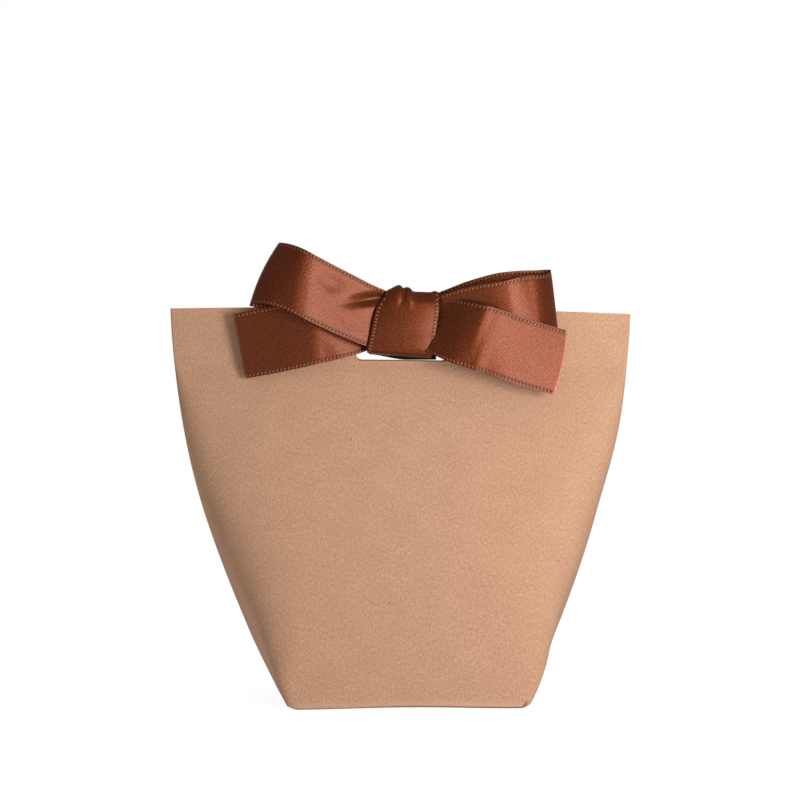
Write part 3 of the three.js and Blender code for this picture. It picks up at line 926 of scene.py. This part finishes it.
ribbon_piece("ribbon_band_satin", "bow", "ribbon_band", with_flat(band_points, band_share),
             wear=band_slot_shade)

# %% [markdown]
# ## The knot
# The knot is a turn of the same ribbon, wrapped over the bridge between the loops, and gathered at
# its head into two small folds. These could be sculpted, but bumps on a simple form are easier to
# place: a superellipse, flat in front and round at the head and foot.

# %% Knot
KNOT_HALF_DEPTH = 4.0
KNOT_SQUARENESS = 0.6
KNOT_LEFT = [  # height, then the place of the left edge
    (119, -12.6), (122, -12.5), (123.9, -12.4), (125.8, -12.0), (129.8, -11.2), (133, -10.7),
    (135.7, -10.2), (138.9, -9.2), (141.2, -7.6), (143.6, -6.0), (147, -3.5),
]
KNOT_RIGHT = [
    (119, 9.5), (121, 10.0), (124.7, 10.9), (131, 11.7), (138.2, 12.7), (142.8, 12.9), (147, 13.1),
]
KNOT_HEAD = [  # place, then the height of the upper edge
    (-13, 142.0), (-8, 143.0), (-6, 143.7), (-4.3, 144.5), (-2.4, 145.5), (-1.0, 145.8),
    (0.3, 144.8), (1.5, 145.1), (2.7, 144.7), (3.9, 143.6), (6.8, 143.4), (10, 143.3),
    (11.4, 143.7), (13, 143.2),
]
KNOT_FOOT = [(-13, 121.9), (-6, 121.2), (0, 120.8), (5, 120.4), (10, 120.1), (13, 120.0)]


def signed_power(value, power):
    """A power of the size with the sign kept, which turns a circle into a rounded box."""
    return np.sign(value) * np.abs(value) ** power


def bump(place, middle, reach):
    """A bell curve: 1 at its middle, and about a third at its reach from there."""
    return np.exp(-(((place - middle) / reach) ** 2))


def read_off(table, place):
    """The second number of a table of pairs, read off a smooth line at any place."""
    line = smooth_rows(table, 300)
    return np.interp(place, line[:, 0], line[:, 1])


def knot_points(around, share):
    """A ring of ribbon. Height and depth are signed powers of the sine and cosine of the angle
    round, scaled between foot and head. Sideways a point lies between the two edges, and gathers
    at the head push it in or out."""
    angle = 2 * np.pi * around - np.pi
    level = (1 + signed_power(np.sin(angle), KNOT_SQUARENESS)) / 2
    rough = 121.5 + 23 * level
    left, right = read_off(KNOT_LEFT, rough), read_off(KNOT_RIGHT, rough)
    x = left + (right - left) * share
    foot, head = read_off(KNOT_FOOT, x), read_off(KNOT_HEAD, x)
    height = foot + (head - foot) * level
    forward = KNOT_BACK + KNOT_HALF_DEPTH * (1 + signed_power(np.cos(angle), KNOT_SQUARENESS))
    facing = climb(np.cos(angle), -0.2, 0.5)
    near_head = climb(level, 0.62, 0.97)
    pleats = 0.45 * bump(x, -2.6, 2.0) - 0.6 * bump(x + 0.35 * (145 - height), 1.4, 0.8)
    pleats = pleats + 0.38 * bump(x, 2.4, 0.9) - 0.9 * bump(x, 7.5, 3.4) * climb(level, 0.82, 0.95)
    crown = 0.9 * (1 - (2 * share - 1) ** 2) * climb(np.cos(angle), 0, 0.6)
    forward = forward + crown + pleats * near_head * facing - 0.5 * bump(height, 126, 3.5) * facing
    return grid_of(x, -forward, height)


knot_around = np.linspace(0, 1, 161)[:, None]
knot_share = np.linspace(0, 1, 2 * CROSSWISE)[None]
knot_grid = with_flat(knot_points(knot_around, knot_share), knot_share - 0.5)
ribbon_piece("bow_knot_satin", "bow", "bow_knot", knot_grid)

# %% [markdown]
# ## Loops and tails
# On the left the loop stands over the tail, and on the right the tail lies over the loop. A loop
# has a front leg, a round end and a leg that comes back, and a tail has the front leg alone. Satin
# is bright where it turns to the light, so the places of these bends matter most. They could be
# pulled by hand, but a table can be corrected one row at a time.

# %% Tables of the bow
LEFT_LOOP = {
    "side": -1, "root": (-9.6, 133.1), "tilt": 22.5, "depth": 5.2, "lean": 10, "front": 0.46,
    "slant": 0.27, "untwist": 0, "belly": 1.1, "end_turn": -0.045, "jag": 0,
    "dents": [(1.5, (4.5, 6.6), (7.0, 1.7), -32), (0.5, (19.5, 5.9), (4.5, 3.0), 0),
              (-0.35, (9.0, -3.0), (6.0, 3.2), 10)],
    "table": [  # out, forward, middle, width, how far the top leans forward
        (-4, 0.4, 0.7, 19.5, 0), (0, 0.9, 0.8, 20.8, 0), (7, 1.7, 0.75, 21.1, 0),
        (14, 2.5, 1.0, 21.5, 0), (21, 3.3, 1.35, 21.6, 0), (27, 4.0, 1.75, 21.7, 0),
        (32, 3.6, 2.0, 22.1, 0), (36.5, 1.3, 1.85, 22.7, 0), (40.2, -2.1, 1.15, 23.4, 0),
        (42.6, -5.9, 0.2, 24.2, 0), (41.4, -8.1, 0, 24.2, 0), (36, -6.7, 0.7, 23.0, 0),
        (25, -2.9, 1.6, 21.0, 0), (12, -1.1, 0.9, 20.2, 0), (0, -0.5, 0.8, 19.4, 0),
        (-4, -0.4, 0.7, 18.5, 0),
    ],
}
RIGHT_LOOP = {
    "side": 1, "root": (12.2, 133.9), "tilt": 7, "depth": 3.6, "lean": 8, "front": 0.46,
    "slant": -0.08, "untwist": 0, "belly": 0.2, "end_turn": 0, "jag": 0,
    "dents": [(0.3, (9.0, -1.0), (6.0, 2.4), 12)],
    "table": [
        (-4, 0.5, -3.2, 17.0, 0), (0, 0.85, -2.4, 19.8, 0.05), (8, 2.04, -1.7, 21.6, 0.12),
        (15, 2.87, -1.4, 22.6, 0.12), (21, 3.0, -1.4, 22.9, 0.12), (26, 2.6, -1.3, 23.2, 0.12),
        (29, 1.95, -1.05, 23.5, 0.11), (31.5, 1.15, -0.85, 23.7, 0.1), (34, 0.2, -0.75, 23.8, 0.09),
        (36.3, -0.8, -0.8, 23.9, 0.08), (38.5, -2.2, -0.9, 24.0, 0.08), (40.7, -4.2, -0.85, 24.1, 0.08),
        (42.3, -6.3, -0.2, 24.3, 0.09), (42.6, -7.4, 0.3, 24.4, 0.1), (41.3, -8.0, 0.6, 24.4, 0.1),
        (37, -7.8, 0.9, 24.4, 0.12), (31, -6.6, 1.4, 24.4, 0.12), (23, -5.1, 1.4, 24.4, 0.1),
        (13, -3.6, 0.8, 22.6, 0.05), (5, -2.6, 0, 20.2, 0), (-4, -2.2, -1.0, 17.5, 0),
    ],
}
LEFT_TAIL = {
    "side": -1, "root": (-9.5, 133.5), "tilt": -10.5, "depth": 0.8, "lean": 0, "front": 2,
    "slant": 0.6, "untwist": 0.3, "belly": 0, "end_turn": 0, "jag": 0.12, "melt": 0.12,
    "dents": [],
    "table": [
        (-4, -0.3, 0.9, 17.5, 0), (0, -0.1, 0.65, 19.3, 0.05), (5, 0.7, 0.3, 20.95, 0.13),
        (10, 2.0, 0.1, 22.2, 0.17), (15, 3.35, 0.1, 22.8, 0.17), (19.5, 4.5, 0, 23.1, 0.15),
        (22.5, 4.95, -0.05, 23.2, 0.1), (25.5, 4.9, -0.1, 23.3, 0.04), (32, 4.35, -0.3, 23.5, 0),
        (40, 3.7, -0.4, 23.5, 0), (49.2, 3.0, -0.5, 23.2, 0),
    ],
}
RIGHT_TAIL = {
    "side": 1, "root": (11.92, 130.3), "tilt": -14.5, "depth": 6.6, "lean": 11, "front": 2,
    "slant": 0.48, "untwist": 0.9, "belly": 1.3, "end_turn": -0.04, "jag": 0.4, "melt": 0.5,
    "dents": [],
    "table": [
        (-5, -0.9, 1.2, 17.6, 0), (-1.5, -0.3, 1.05, 19.8, 0), (2.5, 1.5, 0.95, 21.1, 0),
        (6, 3.2, 0.75, 22.2, 0), (9, 4.25, 0.65, 22.6, 0), (13, 4.45, 0.65, 22.85, 0),
        (16, 3.85, 0.55, 23.0, -0.02), (20, 2.75, 0.4, 23.1, -0.03), (28, 0.15, -0.2, 23.1, -0.06),
        (36, -2.6, -0.55, 23.35, -0.07), (45.1, -5.7, -0.68, 23.45, -0.07),
    ],
}


# %% [markdown]
# ## How the bow bends at the knot
# On the real bow a lifted loop bends where it leaves the knot, and nothing tears. A hard hinge
# would open a gap. Here the start and the end of that bend are worked out along each strip's
# outward line, and a strip with a bend is kept where it is built, tied to no body. A tail's cut
# end is sealed by heat and a little paler, so it gets its own satin.


# %% Strips on the knot
BEND_REACH = 7.0


def bend_of(strip):
    """Start and end of the bend between the knot and a strip, along its outward line."""
    rise = math.radians(strip["tilt"])
    start = np.array([strip["root"][0], -(KNOT_BACK + strip["depth"]), strip["root"][1]])
    step = BEND_REACH * np.array([strip["side"] * math.cos(rise), 0, math.sin(rise)])
    return tuple(start * MM), tuple((start + step) * MM)


for node, body, strip, held in (
    ("left_loop", "loop_left", LEFT_LOOP, "folded"),
    ("right_loop", "loop_right", RIGHT_LOOP, "folded"),
    ("left_tail", "tail_left", LEFT_TAIL, "hung"),
    ("right_tail", "tail_right", RIGHT_TAIL, "hung"),
):
    name = node + "_satin"
    grid = strip_grid(strip)
    material = satin_ribbon
    if strip["jag"]:
        material = satin(name, length_of(grid), strip["melt"])
    ribbon_piece(name, body, node, grid, material, bend_of(strip))

# %% [markdown]
# ## The studio sweep
# The bag stands on a pale sheet that curves up behind it, so that no edge of the floor shows. A
# bright white floor would throw its light back on the card. So this one is plain and pale to the
# light, and glows white only to the camera and in gloss. A little of a plain surface is added
# there, to keep the shadow at the bag's foot.

# %% Floor
FLOOR_FAR = 4.0
SWEEP_RADIUS = 2.2
FLOOR_TONE = 0.86
GLOW = 0.9
SHADOW_TONE = 0.26

sweep_turn = np.linspace(0, np.pi / 2, 40)
sweep_y = FLOOR_FAR - SWEEP_RADIUS + SWEEP_RADIUS * np.sin(sweep_turn)
sweep_z = SWEEP_RADIUS * (1 - np.cos(sweep_turn))
sweep_line = np.concatenate([[(-FLOOR_FAR, 0.0)], grid_of(sweep_y, sweep_z)])[:, None]
sweep_side = np.array([-FLOOR_FAR, FLOOR_FAR])[None]
sweep_points = grid_of(sweep_side, sweep_line[..., 0], sweep_line[..., 1]).reshape(-1, 3)
sweep_faces = grid_faces(len(sweep_line), 2)[:, ::-1]
floor_mesh = bpy.data.meshes.new("floor")
floor_mesh.from_pydata(sweep_points.tolist(), [], sweep_faces.tolist())
floor_mesh.shade_smooth()
floor = add_object("floor", floor_mesh)

white = Finish("studio_white")
white.set(Base_Color=(FLOOR_TONE,) * 3 + (1,), Roughness=0.9, Specular_IOR_Level=0.1)
glow = white.node("Emission", None, {"Color": (1, 1, 1, 1), "Strength": GLOW})
faint = white.node("BsdfDiffuse", None, {"Color": (SHADOW_TONE,) * 3 + (1,)})
lit = white.node("AddShader", None, {0: glow.outputs[0], 1: faint.outputs[0]})
rays = white.node("LightPath").outputs
seen = Signal(white, rays["Is Camera Ray"]).math("MAXIMUM", rays["Is Glossy Ray"])
either = white.node("MixShader", None, {0: seen, 1: white.shader.outputs[0], 2: lit.outputs[0]})
white.join(white.tree.nodes["Material Output"].inputs[0], either.outputs[0])
floor_mesh.materials.append(white.material)
print("sweep:", len(sweep_faces), "faces")

# %% [markdown]
# ## Light
# The photo's light is soft and even, with one lamp to the right that draws the satin's bright
# places. An environment picture could give this, but a world that lights all sides alike and two
# large lamps are enough. The front lamp is level with the bag, because a satin's highlight rises
# with its lamp.

# %% World
AMBIENT = 0.39
BACKDROP = 1.0

world = bpy.data.worlds.new("studio")
scene.world = world
world.use_nodes = True
nodes, links = world.node_tree.nodes, world.node_tree.links
ambient = nodes["Background"]
backdrop = nodes.new("ShaderNodeBackground")
for background, strength in ((ambient, AMBIENT), (backdrop, BACKDROP)):
    background.inputs["Color"].default_value = (1, 1, 1, 1)
    background.inputs["Strength"].default_value = strength
path = nodes.new("ShaderNodeLightPath")
choice = nodes.new("ShaderNodeMixShader")
links.new(path.outputs["Is Camera Ray"], choice.inputs[0])
links.new(ambient.outputs[0], choice.inputs[1])
links.new(backdrop.outputs[0], choice.inputs[2])
links.new(choice.outputs[0], nodes["World Output"].inputs[0])
print("world:", AMBIENT, "to the bag and", BACKDROP, "to the camera")


# %% Lamps
def softbox(name, place, target, size, power):
    """A rectangular lamp at place that faces target and doesn't show in the picture."""
    lamp = bpy.data.lights.new(name, "AREA")
    lamp.shape = "RECTANGLE"
    lamp.size, lamp.size_y = size
    lamp.energy = power
    box = add_object(name, lamp)
    box.location = place
    box.rotation_euler = (Vector(target) - Vector(place)).to_track_quat("-Z", "Y").to_euler()
    box.visible_camera = False


softbox("key", (0.148, -0.262, 0.115), (0.0, 0.0, 0.29), (0.12, 0.16), 0.71)
softbox("back", (-0.10, 0.34, 0.16), (0.0, 0.0, 0.08), (0.30, 0.30), 0.42)
